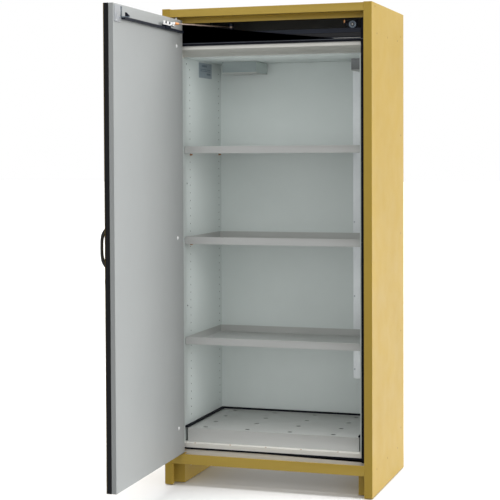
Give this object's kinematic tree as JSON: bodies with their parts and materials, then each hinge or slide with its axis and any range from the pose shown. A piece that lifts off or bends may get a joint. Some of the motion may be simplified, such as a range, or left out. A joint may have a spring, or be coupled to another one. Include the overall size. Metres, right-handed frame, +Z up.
{
  "type": "flammable storage cabinet",
  "caption": "Tall fire-rated storage cabinet with one wing door open, tray shelves, a collecting sump with a grid insert, roof duct collars and a sliding stay on the door.",
  "frame": {"origin": "middle of the footprint of the cabinet with its door open, on the floor", "axes": "+X to the viewer's right, +Y to the back, +Z up; the front faces -Y"},
  "size_m": [0.868, 1.3702, 1.965],
  "materials": {
    "yellow_paint": "semi-gloss powder coat, fine texture",
    "light_grey_panel": "satin light grey coated board",
    "lining_grey": "satin melamine-faced board",
    "board_edge": "light board edge",
    "shelf_grey": "satin light grey powder coat",
    "black_core": "black edge profile",
    "black_rubber": "matt black seal",
    "black_metal": "dark painted sheet",
    "dark_grey": "dark grey painted sheet",
    "black_plastic": "black moulded handle",
    "zinc": "zinc plated",
    "steel": "plain bright steel",
    "duct_metal": "bright sheet",
    "copper": "copper-coloured metal",
    "clear_plastic": "whitish translucent plastic"
  },
  "bodies": {
    "cabinet": {"side_panel_left": "yellow_paint", "side_panel_right": "yellow_paint", "plinth_left": "yellow_paint", "plinth_right": "yellow_paint", "roof_panel": "yellow_paint", "back_panel": "yellow_paint", "head_rail": "yellow_paint", "base_rail": "yellow_paint", "insulation_left": "board_edge", "insulation_right": "board_edge", "insulation_back": "board_edge", "insulation_top": "board_edge", "floor_board": "board_edge", "lining_left": "lining_grey", "lining_right": "lining_grey", "lining_back": "lining_grey", "lining_top": "lining_grey", "head_ledge": "black_metal", "head_back_plate": "dark_grey", "head_side_cover": "dark_grey", "door_seal": "black_rubber", "tray_shelf_lower": "shelf_grey", "tray_shelf_middle": "shelf_grey", "tray_shelf_upper": "shelf_grey", "sump": "shelf_grey", "sump_insert": "shelf_grey", "sump_seal": "black_rubber", "supply_hood": "shelf_grey", "supply_collar": "zinc", "exhaust_hood": "shelf_grey", "exhaust_collar": "zinc", "air_duct": "duct_metal", "upper_pivot_bush": "black_rubber", "lower_pivot_bush": "black_rubber", "arm_post": "black_metal", "thermal_link": "copper", "catch_plate": "steel", "catch_disc": "zinc", "label_plate": "clear_plastic"},
    "door": {"door_skin": "yellow_paint", "door_core": "black_core", "door_inner_panel": "light_grey_panel", "door_handle": "black_plastic", "door_rail": "dark_grey", "rail_end_bracket": "zinc", "rail_bumper": "black_rubber", "corner_plate": "clear_plastic", "upper_pivot_pin": "steel", "lower_pivot_pin": "steel"},
    "carriage": {"rail_carriage": "zinc"},
    "arm": {"closer_arm": "steel"},
    "catch": {"catch_lever": "copper"},
    "lock": {"lock_cylinder": "zinc"},
    "supply_flap": {"supply_damper": "steel"},
    "exhaust_flap": {"exhaust_damper": "steel"},
    "foot_front_left": {"levelling_foot_front_left": "dark_grey"},
    "foot_rear_left": {"levelling_foot_rear_left": "dark_grey"},
    "foot_front_right": {"levelling_foot_front_right": "dark_grey"},
    "foot_rear_right": {"levelling_foot_rear_right": "dark_grey"}
  },
  "joints": [
    {"name": "door_swing", "type": "hinge", "parent": "cabinet", "child": "door", "pos_m": [-0.38, 0.0841, 1.015], "axis": [0, 0, 1], "range_deg": [0, 88.5]},
    {"name": "carriage_travel", "type": "slide", "parent": "door", "child": "carriage", "axis": [0.0262, -0.9997, 0], "range_m": [0, 0.3314]},
    {"name": "arm_swing", "type": "hinge", "parent": "cabinet", "child": "arm", "pos_m": [-0.173, 0.1671, 1.873], "axis": [0, 0, 1], "range_deg": [0, 114.8]},
    {"name": "catch_lift", "type": "hinge", "parent": "cabinet", "child": "catch", "pos_m": [0.336, 0.1676, 1.8685], "axis": [0, 1, 0], "range_deg": [0, 12]},
    {"name": "lock_turn", "type": "hinge", "parent": "door", "child": "lock", "pos_m": [-0.3795, -0.6602, 0.9], "axis": [0.9997, 0.0262, 0], "range_deg": [0, 90]},
    {"name": "supply_flap_turn", "type": "hinge", "parent": "cabinet", "child": "supply_flap", "pos_m": [-0.228, 0.5391, 1.88], "axis": [1, 0, 0], "range_deg": [0, 90]},
    {"name": "exhaust_flap_turn", "type": "hinge", "parent": "cabinet", "child": "exhaust_flap", "pos_m": [0.317, 0.5391, 1.88], "axis": [1, 0, 0], "range_deg": [0, 90]},
    {"name": "foot_front_left_turn", "type": "hinge", "parent": "cabinet", "child": "foot_front_left", "pos_m": [-0.4, 0.1671, 0.01], "axis": [0, 0, 1], "range_deg": [0, 360]},
    {"name": "foot_rear_left_turn", "type": "hinge", "parent": "cabinet", "child": "foot_rear_left", "pos_m": [-0.4, 0.6271, 0.01], "axis": [0, 0, 1], "range_deg": [0, 360]},
    {"name": "foot_front_right_turn", "type": "hinge", "parent": "cabinet", "child": "foot_front_right", "pos_m": [0.4, 0.1671, 0.01], "axis": [0, 0, 1], "range_deg": [0, 360]},
    {"name": "foot_rear_right_turn", "type": "hinge", "parent": "cabinet", "child": "foot_rear_right", "pos_m": [0.4, 0.6271, 0.01], "axis": [0, 0, 1], "range_deg": [0, 360]}
  ],
  "couplings": [
    {"joint": "carriage_travel", "follows": "door_swing", "m_per_rad": 0.21418},
    {"joint": "arm_swing", "follows": "door_swing", "ratio": 1.2942}
  ]
}
